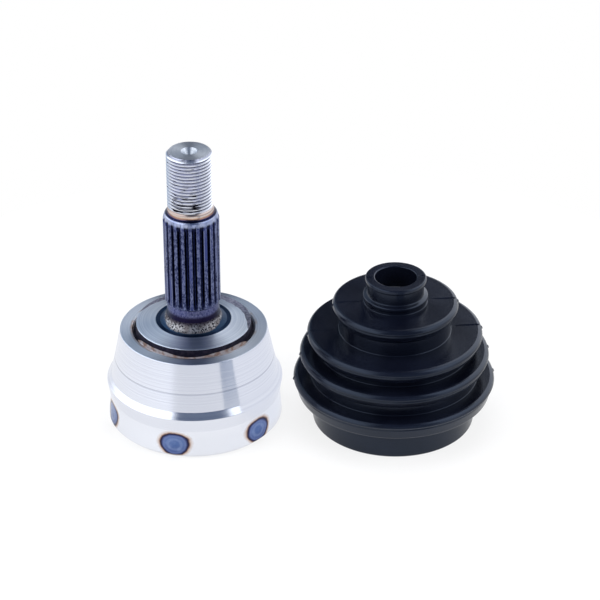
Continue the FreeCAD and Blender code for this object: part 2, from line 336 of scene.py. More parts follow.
# %% Outside rows
FLANK_OFFSET, FLANK_SLOPE = 5.909, 0.574
RUN_OUT_Z = [58.0, 61.0, 64.0, 96.0, 100.0]
RUN_OUT_RADIUS = [12.2, 11.2, SPLINE_ROOT, SPLINE_ROOT, 11.9]
outside = guarded(rounded(OUTSIDE), 3.6)
crest_rows = np.concatenate([np.arange(59.8, 65, 0.8), [72.0, 84.0], np.arange(95.2, 98, 0.8)])
crest_rows = np.stack([np.full(len(crest_rows), SPLINE_RADIUS), crest_rows], axis=1)
on_crest = np.nonzero((outside[:, 1] > 59.3) & (outside[:, 1] < 98.1) & (outside[:, 0] > 12))[0]
outside = np.concatenate([outside[: on_crest[0]], crest_rows, outside[on_crest[-1] + 1 :]])
from_space = np.abs((spline_angles - first_space + half_tooth) % (2 * half_tooth) - half_tooth)
# on a flank, slope * distance along the space's middle - distance across it = offset
flank = FLANK_OFFSET / np.maximum(FLANK_SLOPE * np.cos(from_space) - np.sin(from_space), 0.4)
root_rise = np.interp(outside[:, 1], RUN_OUT_Z, RUN_OUT_RADIUS)
tooth = np.maximum(np.maximum(flank, SPLINE_ROOT)[None, :], root_rise[:, None])
on_stub = (outside[:, 1] > 55)[:, None]
outside_radius = np.where(on_stub, np.minimum(outside[:, :1], tooth), outside[:, :1])
print("outside rows:", len(outside), "of them on the spline:", len(crest_rows))

# %% [markdown]
# ## The thread
# A thread is a profile wound on a helix, so its rows follow the helix too: going once round, row i
# arrives one pitch higher, which is where row i + 5 began. Rows that would start below the shank or
# end above the chamfer are held at its edge, where the profile has faded out or the chamfer cuts it.
# A stack of rings would look alike from far off, but a thread has a start and a hand, and this has.

# %% Thread rows
PHASES = np.array([0.0, 0.13, 0.45, 0.53, 0.87])
DEPTHS = np.array([0.0, 0.0, 1.0, 1.0, 0.02])
FADE_LENGTH = 1.6
turns = int(np.ceil((THREAD_TOP - THREAD_LOW) / PITCH)) + 1
thread_count = turns * len(PHASES)
row_phase = (np.arange(turns)[:, None] + PHASES).ravel()
row_depth = np.tile(DEPTHS, turns)
round_once = (spline_angles - spline_angles[0]) / (2 * np.pi)
thread_z = THREAD_LOW - PITCH + PITCH * (row_phase[:, None] + round_once)
thread_z = np.clip(thread_z, THREAD_LOW, THREAD_TOP)
fade = np.clip((thread_z - THREAD_LOW) / FADE_LENGTH, 0, 1)
chamfer = THREAD_RADIUS - np.maximum(thread_z - (THREAD_TOP - END_CHAMFER), 0)
thread_radius = np.minimum(THREAD_RADIUS - THREAD_DEPTH * fade * row_depth[:, None], chamfer)
print("thread:", turns, "turns,", thread_z.shape[0], "rows")

# %% [markdown]
# Four blocks of rows, one above the other, make the whole piece: inside, outside, thread and end face.
# Each row also knows which finish it has, from the block, radius and height that it starts at. A race
# made of several objects could have a material each, but their edges would show as seams.

# %% Outer race mesh
end_line = guarded(rounded(END), 1.5)
BLOCKS = ["inside", "outside", "thread", "end"]
sizes = [
    (inside_radius, inside_z, inside_angle),
    (outside_radius, outside[:, 1:], spline_angles[None, :]),
    (thread_radius, thread_z, spline_angles[None, :]),
    (end_line[:, :1], end_line[:, 1:], spline_angles[None, :]),
]
blocks = [turned_grid(*(np.broadcast_to(x, (len(b[0]), COLUMNS)) for x in b)) for b in sizes]
starts = np.cumsum([0] + [len(b) for b in blocks])
xyz = np.concatenate(blocks)
partner = np.arange(len(xyz))
in_thread = np.arange(starts[2], starts[3])
partner[in_thread] = np.minimum(in_thread + len(PHASES), starts[3] - 1)
thread_r = np.full(thread_count, THREAD_RADIUS)
row_r = np.concatenate([inside[:, 0], outside[:, 0], thread_r, end_line[:, 0]])
row_z = np.concatenate([inside[:, 1], outside[:, 1], thread_z[:, 0], end_line[:, 1]])
row_block = np.repeat(BLOCKS, [len(b) for b in blocks])
print("outer race rows:", dict(zip(BLOCKS, np.diff(starts).tolist())))

# %% Finish of each row
FINISHES = ["machined", "forged", "seat", "grit", "hardened", "tempered", "thread", "end", "cavity"]
HARDENED_FROM, TEMPERED_FROM = 52.4, 101.9
EDGE = 0.05


def row_finish(block, r, z):
    """Name of the finish of the row that starts at this radius and height."""
    if block != "outside":
        return {"inside": "cavity", "thread": "thread", "end": "end"}[block]
    if z > TEMPERED_FROM:
        return "tempered"
    if z > HARDENED_FROM:
        return "hardened"
    if z > 48 and r < FILLET_RADIUS + EDGE:
        return "grit"
    if z > 48 and r < SEAT_RADIUS + EDGE:
        return "seat"
    if GROOVE_Z - 1 < z < DISC_Z - 0.4 and r < 26.38:
        return "forged"
    return "machined"


finish_index = np.array([FINISHES.index(row_finish(*row)) for row in zip(row_block, row_r, row_z)])
outer_race = grid_mesh("outer_race_turned", xyz, partner, row_material=finish_index)
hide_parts("outer_race")
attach(outer_race, "outer_race")

# %% [markdown]
# ## Inside the bell
# The cage, the inner race and the ring keep their CAD shapes, because every face there was cut to run
# against another. A CAD mesh is loose triangles and shades flat, so each gets a merged copy with its
# sharp edges marked. A ball is a plain sphere, worked out as a grid of latitude and longitude.

# %% Inside pieces


def dressed_copy(node, sharp=28.0):
    """A copy of a CAD node's mesh with its loose triangles merged and its sharp edges marked."""
    piece = finish_mesh(node + "_dressed", nodes[node].data.copy(), sharp)
    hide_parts(node)
    return piece


cage = dressed_copy("cage")
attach(cage, "cage")
inner_race = dressed_copy("inner_race")
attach(inner_race, "inner_race")
ring = dressed_copy("retaining_ring")
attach(ring, "inner_race")


def ball_grid(centre, radius, rows=48, columns=96):
    """Sphere about a centre: radius * (cos latitude * round the axis, sin latitude)."""
    latitude = np.linspace(-np.pi / 2, np.pi / 2, rows + 1)[:, None]
    longitude = np.arange(columns) * 2 * np.pi / columns
    return centre + turned_grid(radius * np.cos(latitude), radius * np.sin(latitude), longitude)


balls = []
for number in range(1, 7):
    low, high = (np.array(corner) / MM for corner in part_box(f"ball_{number}"))
    ball = grid_mesh(f"ball_{number}_polished", ball_grid((low + high) / 2, (high - low)[2] / 2))
    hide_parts(f"ball_{number}")
    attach(ball, f"ball_{number}")
    balls.append(ball)

# %% [markdown]
# ## The boot
# A bellows of moulded rubber: a shaft seat with a lip, four folds that widen downwards, and the large
# collar. Each fold has a flat top with a crisp inner corner, and its edge carries two beads with a
# shallow groove between them, which is what draws the double line of light round every fold. A tube
# with a Subdivision Surface would blur those lines, so the boot is drawn with true radii as well.

# %% Boot outline
BOOT_X, BOOT_Y, WALL = 88.4, -2.0, 2.6
RIM_Z = 70.2
# each fold: radius of its neck, radius of its crest, height of its top, depth, radius of the next neck
FOLDS = [
    (13.8, 27.6, 58.0, 4.8, 24.6),
    (24.6, 38.6, 44.0, 4.6, 33.4),
    (33.4, 41.8, 34.0, 5.0, 37.0),
    (37.0, 44.6, 21.6, 6.6, 35.9),
]
DROOP, LIFT = 1.1, 0.4


def fold_outside(neck, crest, top, depth, next_neck):
    """Outside of one fold: corner, flat top, upper bead, groove, lower bead, and back in to the neck."""
    top, low = top + LIFT, top - depth - DROOP
    return [
        (neck, top, 0.25),
        (crest - 0.3, top, 1.9),
        (crest, top - 2.3, 0.7),
        (crest - 1.2, top - 2.9, 0.3),
        (crest - 1.0, top - 3.7, 0.7),
        (crest - 2.0, low, 0.8),
        (next_neck, low - 0.7, 0.5),
    ]


def fold_inside(neck, crest, top, depth, next_neck):
    """Inside of the same fold, one wall thickness in."""
    return [
        (neck - WALL, top - WALL, 0.8),
        (crest - WALL, top - WALL, 1.0),
        (crest - WALL - 1.0, top - depth, 0.6),
        (next_neck - WALL, top - depth - 1.4, 0.7),
    ]


boot_out = [
    (9.1, 62.0, 0),
    (9.1, RIM_Z, 0.45),
    (13.3, RIM_Z, 0.6),
    (13.3, 68.3, 0.5),
    (12.4, 67.8, 0.3),
    (12.4, 62.3, 0.4),
    (14.2, 61.7, 0.5),
    (14.2, 60.3, 0.45),
    (13.8, 59.8, 0.2),
]
boot_in = []
for fold in FOLDS:
    boot_out += fold_outside(*fold)
    boot_in += fold_inside(*fold)
boot_in[0] = (10.7, 58.0 - WALL, 0.8)
boot_in[-1] = (32.2, boot_in[-1][1], 0.6)
boot_out += [(35.9, 0, 0.7), (33.4, 0, 0.5)]
boot_in = [(9.1, 62.0, 0), (9.1, 60.2, 0.8)] + boot_in + [(33.4, 8.6, 0.6)]
boot_line = guarded(rounded(boot_out + boot_in[::-1], 4), 6.0)[:-1]
print("boot profile:", len(boot_line), "points")

# %% [markdown]
# The mould opened in two halves, and where they met the rubber shows it: a fine slit across each flat
# top, and a nub of flash on each crest, on the two opposite sides. Both are a bell curve of the arc's
# length from the seam, so they keep their width at every radius.

# %% Boot mesh
SEAM = np.radians(4.0)
SEAM_WIDTH, SLIT_DEPTH, FLASH_HEIGHT = 0.4, 0.6, 0.45
LOWEST_SLIT = 40.0
near_seam = np.radians([-3.0, -1.9, -1.3, -0.85, -0.45, 0.0, 0.45, 0.85, 1.3, 1.9, 3.0])
between = np.radians(np.linspace(4.4, 175.6, 100))
boot_angles = SEAM + np.concatenate([near_seam, between, np.pi + near_seam, np.pi + between])
boot_r, boot_z = boot_line[:, :1], boot_line[:, 1:]
from_seam = np.abs((boot_angles - SEAM + np.pi / 2) % np.pi - np.pi / 2)
near = np.exp(-((boot_r * from_seam / SEAM_WIDTH) ** 2))
slit = (np.abs(boot_z - RIM_Z) < 0.06) & (boot_r > 9.8)
flash = np.zeros_like(boot_z, bool)
for neck, crest, top, _, _ in FOLDS:
    flash |= (boot_r > crest - 0.5) & (np.abs(boot_z - top + 1.2) < 1.6)
    if top > LOWEST_SLIT:
        on_top = np.abs(boot_z - top - LIFT) < 0.06
        slit |= on_top & (boot_r > neck + 0.35 * (crest - neck)) & (boot_r < crest - 1.4)
proud, sunk = FLASH_HEIGHT * near * flash, SLIT_DEPTH * near * slit
boot_xyz = turned_grid(boot_r + proud, boot_z - sunk, boot_angles[None, :])
boot_xyz = boot_xyz + np.array([BOOT_X, BOOT_Y, 0])
boot = grid_mesh("boot_moulded", boot_xyz[::-1], closed_rows=True, sharp=40.0)
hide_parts("boot")
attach(boot, "boot")

# %% [markdown]
# ## Finishes
# A finish is arithmetic on where a point lies: its height, its distance from the axis and its angle
# round it, all from Object coordinates, plus noise. It could be painted on an unwrapped image, but
# nodes stay sharp at any size and need no unwrapping. The small class below lets such arithmetic be
# written as arithmetic: every operation on a field adds one Math node to the material.

# %% Fields


class Field:
    """A number that varies over a surface."""

    def __init__(self, tree, socket):
        self.tree = tree
        self.socket = socket

    def math(self, operation, *others):
        made = self.tree.nodes.new("ShaderNodeMath")
        made.operation = operation
        for socket, value in zip(made.inputs, (self, *others)):
            feed(self.tree, socket, value)
        return Field(self.tree, made.outputs[0])

    def __add__(self, other):
        return self.math("ADD", other)

    def __sub__(self, other):
        return self.math("SUBTRACT", other)

    def __mul__(self, other):
        return self.math("MULTIPLY", other)

    def __truediv__(self, other):
        return self.math("DIVIDE", other)

    def most(self, other):
        return self.math("MAXIMUM", other)

    def fade(self, low, high):
        """0 below low, 1 above high, and a smooth step between; the other way round if low is above."""
        made = add_node(self.tree, "MapRange", {0: self, 1: low, 2: high}, interpolation_type="SMOOTHSTEP")
        return Field(self.tree, made.outputs[0])

    def band(self, low, high, soft):
        """1 between low and high, fading to 0 over the soft distance outside them."""
        return self.fade(low - soft, low) * self.fade(high + soft, high)


def feed(tree, socket, value):
    """Links a socket to a field or to another socket, or sets it to a constant."""
    if isinstance(value, Field):
        value = value.socket
    if isinstance(value, bpy.types.NodeSocket):
        tree.links.new(value, socket)
    else:
        socket.default_value = value


def add_node(tree, kind, sockets, **settings):
    """A shader node with its settings, and what feeds its sockets."""
    made = tree.nodes.new("ShaderNode" + kind)
    for name, value in settings.items():
        setattr(made, name, value)
    for name, value in sockets.items():
        feed(tree, made.inputs[name], value)
    return made


print("fields: +, -, *, /, most, fade and band")

# %% [markdown]
# The patterns: where a point lies on a turned part, noise in space, and noise along a profile, which
# makes rings as a cutting tool does.

# %% Patterns


def polar(tree):
    """Height z, radius r and angle round the axis, in millimetres and radians, and the raw coordinates."""
    raw = add_node(tree, "TexCoord", {}).outputs["Object"]
    parts = add_node(tree, "SeparateXYZ", {0: raw}).outputs
    x, y, z = (Field(tree, part) * 1000 for part in parts)
    return z, (x * x + y * y).math("SQRT"), y.math("ARCTAN2", x), raw


def noise(tree, vector, scale, detail=2.0, stretch=(1, 1, 1), rough=0.5):
    """Noise in 0 to 1 with this many patches to the metre, squeezed along the axes by the stretch."""
    mapped = add_node(tree, "Mapping", {"Vector": vector, "Scale": stretch}).outputs[0]
    sockets = {"Vector": mapped, "Scale": scale, "Detail": detail, "Roughness": rough}
    return Field(tree, add_node(tree, "TexNoise", sockets).outputs[0])


def rings(along, scale, detail=2.0):
    """One-dimensional noise along a profile: lines that run right round a turned part."""
    sockets = {"W": along, "Scale": scale, "Detail": detail}
    return Field(along.tree, add_node(along.tree, "TexNoise", sockets, noise_dimensions="1D").outputs[0])


print("patterns: polar, noise, rings")

# %% [markdown]
# The shader: colours that a field blends, and the settings that turn them into metal or rubber.

# %% Colours and shader


def mixed(factor, first, second):
    """Colour that goes from the first to the second as the factor goes from 0 to 1."""
    colors = [(*color, 1) if isinstance(color, tuple) else color for color in (first, second)]
    return add_node(factor.tree, "Mix", {0: factor, 6: colors[0], 7: colors[1]}, data_type="RGBA").outputs[2]


def ramp(factor, stops):
    """Colour ramp through (place, colour) stops."""
    made = add_node(factor.tree, "ValToRGB", {0: factor})
    points = made.color_ramp.elements
    while len(points) < len(stops):
        points.new(0.5)
    for point, (place, color) in zip(points, stops):
        point.position = place
        point.color = (*color, 1)
    return made.outputs[0]


def finish(name, metallic, roughness, color=(0.8, 0.8, 0.8)):
    """A material, its tree and its Principled shader with constant values."""
    material = bpy.data.materials.new(name)
    material.use_nodes = True
    shader = material.node_tree.nodes["Principled BSDF"]
    shader.inputs["Base Color"].default_value = (*color, 1)
    shader.inputs["Metallic"].default_value = metallic
    shader.inputs["Roughness"].default_value = roughness
    material.diffuse_color = (*color, 1)
    return material, material.node_tree, shader


def painted(shader, color, rough=None):
    """Feeds a colour to the shader, and a roughness where it varies."""
    feed(shader.id_data, shader.inputs["Base Color"], color)
    if rough is not None:
        feed(shader.id_data, shader.inputs["Roughness"], rough)


def turned_sheen(shader, amount):
    """Long highlights across the turning lines: the tangent runs round Z, and a quarter turn crosses it."""
    tree = shader.id_data
    tangent = add_node(tree, "Tangent", {}, direction_type="RADIAL", axis="Z").outputs[0]
    shader.inputs["Anisotropic"].default_value = amount
    shader.inputs["Anisotropic Rotation"].default_value = 0.25
    tree.links.new(tangent, shader.inputs["Tangent"])


def relief(shader, height, distance):
    """Bump of a height field, with the distance in millimetres that a height of 1 stands proud."""
    made = add_node(height.tree, "Bump", {"Height": height, "Distance": distance * MM, "Strength": 1.0})
    feed(height.tree, shader.inputs["Normal"], made.outputs[0])


print("shader: mixed, ramp, finish, painted, turned_sheen, relief")

# %% [markdown]
# ### Heat marks
# Where each ball track was hardened from inside, the heat showed through the mouth's wall as an oval of
# temper colours: a blue middle, an indigo rim and a straw halo. Each lies a little beside its track.
# Six painted spots would need six places, so one formula repeats instead: the fraction of a sixth turn
# gives the way along the arc to the nearest mark, and a colour ramp reads the distance from its middle.

# %% Heat marks
STEEL = (0.80, 0.82, 0.88)
HEAT_TURN, HEAT_RADIUS, HEAT_Z = np.radians(2.5), 37.9, 6.5
HEAT_HALF_HEIGHT, HEAT_HALF_WIDTH, HEAT_WIDENING = 5.3, 6.6, 0.16
HEAT_STOPS = [
    (0.0, (0.085, 0.145, 0.34)),
    (0.30, (0.11, 0.17, 0.37)),
    (0.38, (0.14, 0.19, 0.38)),
    (0.425, (0.06, 0.08, 0.2)),
    (0.455, (0.018, 0.018, 0.06)),
    (0.49, (0.05, 0.035, 0.05)),
    (0.515, (0.36, 0.24, 0.19)),
    (0.56, (0.66, 0.58, 0.56)),
    (0.64, STEEL),
]


def heat_marks(tree, z, angle, raw, wobble):
    """Temper colours by distance from the nearest mark's middle.

    The distance is the root of (across / half width) squared plus (up / half height) squared, and the
    half width grows with height.
    """
    sixth = (angle - TRACK_FIRST - HEAT_TURN) / (np.pi / 3) + 0.5
    across = (sixth.math("FRACT") - 0.5) * (np.pi / 3 * HEAT_RADIUS)
    up = z - HEAT_Z
    reach_across = across / (up * HEAT_WIDENING + HEAT_HALF_WIDTH)
    reach_up = up / HEAT_HALF_HEIGHT
    oval = (reach_across * reach_across + reach_up * reach_up).math("SQRT") + wobble * 0.22
    cloudy = noise(tree, raw, 330.0, 3.0).fade(0.5, 0.75) * 0.3
    inner_ring = oval.band(0.42, 0.52, 0.12) * 0.35
    middle = oval.fade(0.8, 0.7)
    heat = ramp(oval * 0.5, HEAT_STOPS)
    heat = mixed(middle * up.fade(1.0, -3.5) * 0.55, heat, (0.05, 0.075, 0.22))
    return mixed(middle * (inner_ring + cloudy), heat, (0.24, 0.31, 0.52))


print("first heat mark at", np.degrees(TRACK_FIRST + HEAT_TURN).round(1), "degrees")

# %% [markdown]
# ### Machined steel
# The bell was turned, so it carries fine lines right round it, and its light is drawn out across them.
# Rings of noise give the lines, and an anisotropic shader the light. The flat faces on top are painted
# bluer, a painted reflection, and a darker fine line at the bend at 30.6 mm is painted shade. Round the
# groove runs a thin copper-coloured line, and at the back of the disc a strip of the forging's own skin
# was never reached by the tool.

# %% Machined steel


def turned_color(tree, z, r, raw, lines, on_top):
    """Colour of clean turned steel: light and dark lines, a fine line of painted shade, tops painted bluer
    as a painted reflection, and a copper edge.
    """
    side = mixed(lines.fade(0.25, 0.75), (0.69, 0.71, 0.79), (0.78, 0.80, 0.86))
    # painted shade: a darker fine line at the bend at 30.6 mm height
    side = mixed(z.band(30.35, 30.75, 0.2) * 0.6, side, (0.42, 0.44, 0.52))
    # painted reflection: the flat tops are a bluer copy of the same steel
    top = mixed(lines.fade(0.3, 0.7), (0.58, 0.65, 0.76), (0.72, 0.78, 0.87))
    clean = mixed(on_top, side, top)
    patchy = noise(tree, raw, 140.0).fade(0.35, 0.62)
    copper_line = r.band(26.4, 27.6, 0.7) * patchy * z.fade(43.0, 43.4)
    return mixed(copper_line * 0.8, clean, (0.50, 0.36, 0.29))


def unturned_strip(z, r, angle, wobble):
    """1 on the crescent behind the stub: the further back, the further in from the rim it reaches."""
    back = (angle + 0.3).math("SINE").most(0)
    reach = r + back.math("POWER", 0.6) * 4.4 + wobble * back * 3
    return reach.fade(25.15, 25.35) * r.fade(25.9, 25.4) * z.fade(44.5, 45.5)


def machined_steel():
    material, tree, shader = finish("machined", 1.0, 0.2, STEEL)
    z, r, angle, raw = polar(tree)
    wobble = noise(tree, raw, 260.0, 2.0) - 0.5
    lines = rings(z + r * 0.8, 2.2, 3.0)
    on_top = z.fade(FACE_Z - 0.2, FACE_Z - 0.1)
    strip = unturned_strip(z, r, angle, wobble)
    speckle = noise(tree, raw, 900.0, 3.0).fade(0.35, 0.65)
    skin = mixed(speckle, (0.16, 0.165, 0.23), (0.34, 0.34, 0.42))
    color = mixed(strip, turned_color(tree, z, r, raw, lines, on_top), skin)
    near_mouth = r.fade(36.4, 36.8) * z.fade(14.0, 13.0)
    color = mixed(near_mouth, color, heat_marks(tree, z, angle, raw, wobble))
    painted(shader, color, lines * 0.08 + 0.18 + on_top * 0.15 + strip * 0.25)
    turned_sheen(shader, 0.9)
    relief(shader, rings(z + r * 0.8, 4.0, 3.0) + speckle * strip * 8, 0.006)
    return material


finishes = {"machined": machined_steel()}
print("machined steel:", len(finishes["machined"].node_tree.nodes), "nodes")

# %% [markdown]
# ### The splined part
# Hardening left it blue-black, with scale in the tooth spaces, which are also darkened as painted shade,
# and the crests worn to a greyish lilac, with a painted highlight along their edges. A mask by hand could
# pick the crests, but their radius already does: it tells space, edge and crest apart at every tooth.

# %% Hardened steel


def hardened_steel():
    material, tree, shader = finish("hardened", 1.0, 0.34, (0.07, 0.075, 0.16))
    z, r, _, raw = polar(tree)
    grain = noise(tree, raw, 1500.0, 2.0, (1, 1, 0.5), 0.7)
    patches = noise(tree, raw, 160.0, 2.0, (1, 1, 0.35))
    crest = mixed(grain.fade(0.36, 0.66), (0.022, 0.030, 0.085), (0.165, 0.19, 0.335))
    crest = mixed(patches.fade(0.42, 0.7), crest, (0.05, 0.065, 0.20))
    # scale and painted shade: the tooth spaces are near black
    space_scale_and_shade = mixed(grain.fade(0.5, 0.8), (0.004, 0.006, 0.026), (0.026, 0.032, 0.10))
    color = mixed(r.fade(11.5, 12.1), space_scale_and_shade, crest)
    # painted highlight: a thin bright line along the crest edges, in patches
    crest_edge_highlight = r.band(11.98, 12.06, 0.06) * patches.fade(0.4, 0.62) * z.fade(97.6, 97.0)
    color = mixed(crest_edge_highlight * 0.75, color, (0.42, 0.47, 0.62))
    neck = mixed(grain.fade(0.3, 0.7), (0.05, 0.055, 0.15), (0.16, 0.17, 0.30))
    neck = mixed(z.fade(56.0, 54.0), neck, (0.014, 0.011, 0.034))
    color = mixed(z.fade(58.7, 58.5), color, neck)
    shoulder = mixed(patches.fade(0.35, 0.65), (0.16, 0.21, 0.40), (0.46, 0.50, 0.66))
    color = mixed(z.fade(98.6, 99.8) * r.fade(10.9, 11.3), color, shoulder)
    painted(shader, color, grain * 0.25 + 0.18)
    relief(shader, grain, 0.03)
    return material


finishes["hardened"] = hardened_steel()
print("hardened steel:", len(finishes["hardened"].node_tree.nodes), "nodes")

# %% [markdown]
# ### Temper colours and thread
# Above the spline the heat faded through indigo, brown and straw to the bright thread. That is a ramp
# over two millimetres of height, with noise so that it isn't a ruled line. The thread is bright on its
# crests and darker in its roots, which is painted shade, with painted lilac reflections on its front and
# short dark dashes, more of them low down on the front.

# %% Tempered steel and thread
THREAD_FRONT = -1.75


def tempered_steel():
    material, tree, shader = finish("tempered", 1.0, 0.25, (0.45, 0.33, 0.28))
    z, _, _, raw = polar(tree)
    height = (z - 101.6) / 2.0 + (noise(tree, raw, 200.0) - 0.5) * 0.3
    stops = [
        (0.0, (0.02, 0.025, 0.08)),
        (0.16, (0.05, 0.045, 0.12)),
        (0.3, (0.12, 0.07, 0.075)),
        (0.48, (0.42, 0.25, 0.17)),
        (0.7, (0.62, 0.47, 0.38)),
        (1.0, (0.66, 0.62, 0.62)),
    ]
    painted(shader, ramp(height, stops))
    turned_sheen(shader, 0.4)
    return material


def thread_steel():
    material, tree, shader = finish("thread", 1.0, 0.3, (0.66, 0.67, 0.70))
    z, r, angle, raw = polar(tree)
    streak = noise(tree, raw, 350.0, 2.0, (1, 1, 6.0))
    # painted shade: the roots darker than the crests
    color = mixed(r.fade(9.2, 9.75), (0.27, 0.28, 0.34), (0.72, 0.74, 0.80))
    # painted reflection: lilac streaks on the side of the thread that faces the front
    front = (angle - THREAD_FRONT).math("ABSOLUTE").fade(1.0, 0.5)
    front_reflection = front * z.fade(106.0, 112.0) * streak.fade(0.35, 0.65) * 0.6
    color = mixed(front_reflection, color, (0.60, 0.62, 0.78))
    low = z.fade(121.0, 108.0) * z.fade(103.8, 105.0)
    dashes = noise(tree, raw, 230.0, 3.0, (1, 1, 13.0))
    specks = (dashes + low * front * 0.15).fade(0.67, 0.71)
    color = mixed(specks, color, (0.015, 0.013, 0.02))
    color = mixed(z.fade(105.4, 104.0), color, (0.40, 0.31, 0.27))
    painted(shader, color, specks * 0.3 + 0.3)
    return material


finishes["tempered"] = tempered_steel()
finishes["thread"] = thread_steel()
print("thread steel:", len(finishes["thread"].node_tree.nodes), "nodes")

# %% [markdown]
# ### The root of the stub
# The flat ring at the root was ground and then tinted teal. The fillet inside it still has its grit at
# the front, and the tint reaches over it at the sides. The groove's wall is forging skin, near black as
# scale and as painted shade in the groove, with a painted reflection in straw tones low down at both
# sides of the front. Both borders are a radius or a height that changes with the angle.

# %% Seat, fillet and groove
FRONT = -1.6


def seat_steel():
    material, tree, shader = finish("seat", 1.0, 0.3, (0.055, 0.11, 0.20))
    _, r, _, _ = polar(tree)
    lines = rings(r, 5.0, 3.0)
    color = mixed(lines.fade(0.3, 0.7), (0.015, 0.045, 0.11), (0.03, 0.07, 0.16))
    painted(shader, color)
    turned_sheen(shader, 0.6)
    relief(shader, lines, 0.006)
    return material


def grit_steel():
    material, tree, shader = finish("grit", 1.0, 0.45, (0.35, 0.32, 0.31))
    z, r, angle, raw = polar(tree)
    speck = noise(tree, raw, 1300.0, 3.0, (1, 1, 1), 0.7)
    patch = noise(tree, raw, 260.0, 2.0)
    color = mixed(patch.fade(0.35, 0.65), (0.20, 0.18, 0.18), (0.46, 0.46, 0.48))
    color = mixed(z.fade(50.4, 52.2) * 0.9, color, (0.03, 0.024, 0.045))
    color = mixed((speck + patch * 0.3).fade(0.67, 0.71), color, (0.012, 0.01, 0.014))
    reach = r + speck * 0.8 + (angle - FRONT).math("ABSOLUTE").fade(0.45, 1.5) * 1.7 - 0.35
    color = mixed(reach.fade(14.0, 14.5), color, (0.025, 0.055, 0.11))
    painted(shader, color)
    relief(shader, speck, 0.12)
    return material


def forged_skin():
    material, tree, shader = finish("forged", 0.7, 0.6, (0.03, 0.022, 0.03))
    z, _, angle, raw = polar(tree)
    scale = noise(tree, raw, 500.0, 3.0)
    # forging scale and painted shade: the groove wall near black
    color = mixed(scale.fade(0.4, 0.75), (0.006, 0.006, 0.018), (0.03, 0.024, 0.042))
    # painted reflection: a bright crescent in straw tones low on the wall, at both sides of the front
    from_front = (angle - FRONT).math("ABSOLUTE")
    edge = from_front.band(0.5, 0.85, 0.4) - from_front.fade(1.0, 1.3) * 1.5 + 43.65
    side_reflection = (edge - z + scale * 0.3).fade(0.0, 0.3)
    straw = mixed(scale.fade(0.35, 0.6), (0.46, 0.33, 0.28), (0.66, 0.63, 0.66))
    color = mixed(side_reflection * 0.9, color, straw)
    painted(shader, color)
    relief(shader, scale, 0.15)
    return material


finishes["seat"] = seat_steel()
finishes["grit"] = grit_steel()
finishes["forged"] = forged_skin()
print("finishes so far:", sorted(finishes))

# %% [markdown]
# ### End face and cavity
# The end face was faced off, so it has rings as the bell has, and its centre drilling is dark inside:
# painted shade. The cavity was ground where the cage runs, and its roof is darker: painted shade.

# %% End face and cavity


def end_steel():
    material, tree, shader = finish("end", 1.0, 0.46, (0.52, 0.55, 0.60))
    z, r, _, _ = polar(tree)
    lines = rings(r, 3.0, 3.0)
    color = mixed(lines.fade(0.3, 0.7), (0.50, 0.54, 0.60), (0.68, 0.71, 0.76))
    # painted shade: the centre drilling dark inside
    color = mixed(z.fade(127.0, 124.5), color, (0.03, 0.03, 0.035))
    painted(shader, color)
    turned_sheen(shader, 0.6)
    relief(shader, lines, 0.008)
    return material


def cavity_steel():
    material, tree, shader = finish("cavity", 1.0, 0.3, (0.42, 0.42, 0.43))
    z, _, _, raw = polar(tree)
    stain = noise(tree, raw, 90.0, 3.0)
    color = mixed(stain.fade(0.3, 0.7), (0.36, 0.36, 0.37), (0.50, 0.50, 0.52))
    # painted shade: the cavity's roof dark
    color = mixed(z.fade(36.4, 37.2), color, (0.09, 0.08, 0.085))
    painted(shader, color)
    turned_sheen(shader, 0.3)
    return material


finishes["end"] = end_steel()
finishes["cavity"] = cavity_steel()
for name in FINISHES:
    outer_race.data.materials.append(finishes[name])
print("outer race finishes:", len(outer_race.data.materials))

# %% [markdown]
# ### Inside the bell
# The cage is phosphated, a dark grey satin. The inner race is ground on its outside and keeps a grey
# hardening skin on its end faces. The balls are polished, and the ring is blackened spring steel. The
# same helpers make them, so that all the steel answers the light alike.

# %% Finishes of the inside pieces


def phosphate():
    material, tree, shader = finish("phosphated", 0.75, 0.42, (0.09, 0.09, 0.095))
    _, _, _, raw = polar(tree)
    grain = noise(tree, raw, 900.0, 2.0)
    color = mixed(grain.fade(0.3, 0.7), (0.06, 0.06, 0.063), (0.13, 0.13, 0.137))
    painted(shader, color)
    relief(shader, grain, 0.02)
    return material


def ground_race():
    material, tree, shader = finish("ground", 1.0, 0.28, (0.50, 0.51, 0.53))
    z, r, _, _ = polar(tree)
    end_face = z.fade(4.6, 4.52).most(z.fade(24.4, 24.48))
    lines = rings(z + r * 0.9, 3.0, 2.0)
    color = mixed(lines.fade(0.3, 0.7), (0.47, 0.48, 0.50), (0.56, 0.57, 0.60))
    color = mixed(end_face * 0.7, color, (0.24, 0.24, 0.26))
    painted(shader, color)
    turned_sheen(shader, 0.4)
    return material


blackened = finish("blackened", 0.85, 0.38, (0.05, 0.05, 0.055))[0]
for piece, material in ((cage, phosphate()), (inner_race, ground_race()), (ring, blackened)):
    piece.data.materials.clear()
    piece.data.materials.append(material)
polished = finish("polished", 1.0, 0.07, (0.75, 0.76, 0.78))[0]
for ball in balls:
    ball.data.materials.append(polished)
print("materials so far:", len(bpy.data.materials))

# %% [markdown]
# ### Rubber
# Moulded rubber is almost black, a little blue under a white light, with a satin skin. The mould left
# it faintly uneven, and a finger leaves cloudy patches, so both the colour and the roughness drift. A
# plain dark grey would look like paint: what reads as rubber is the soft, bluish, uneven reflection.

# %% Rubber


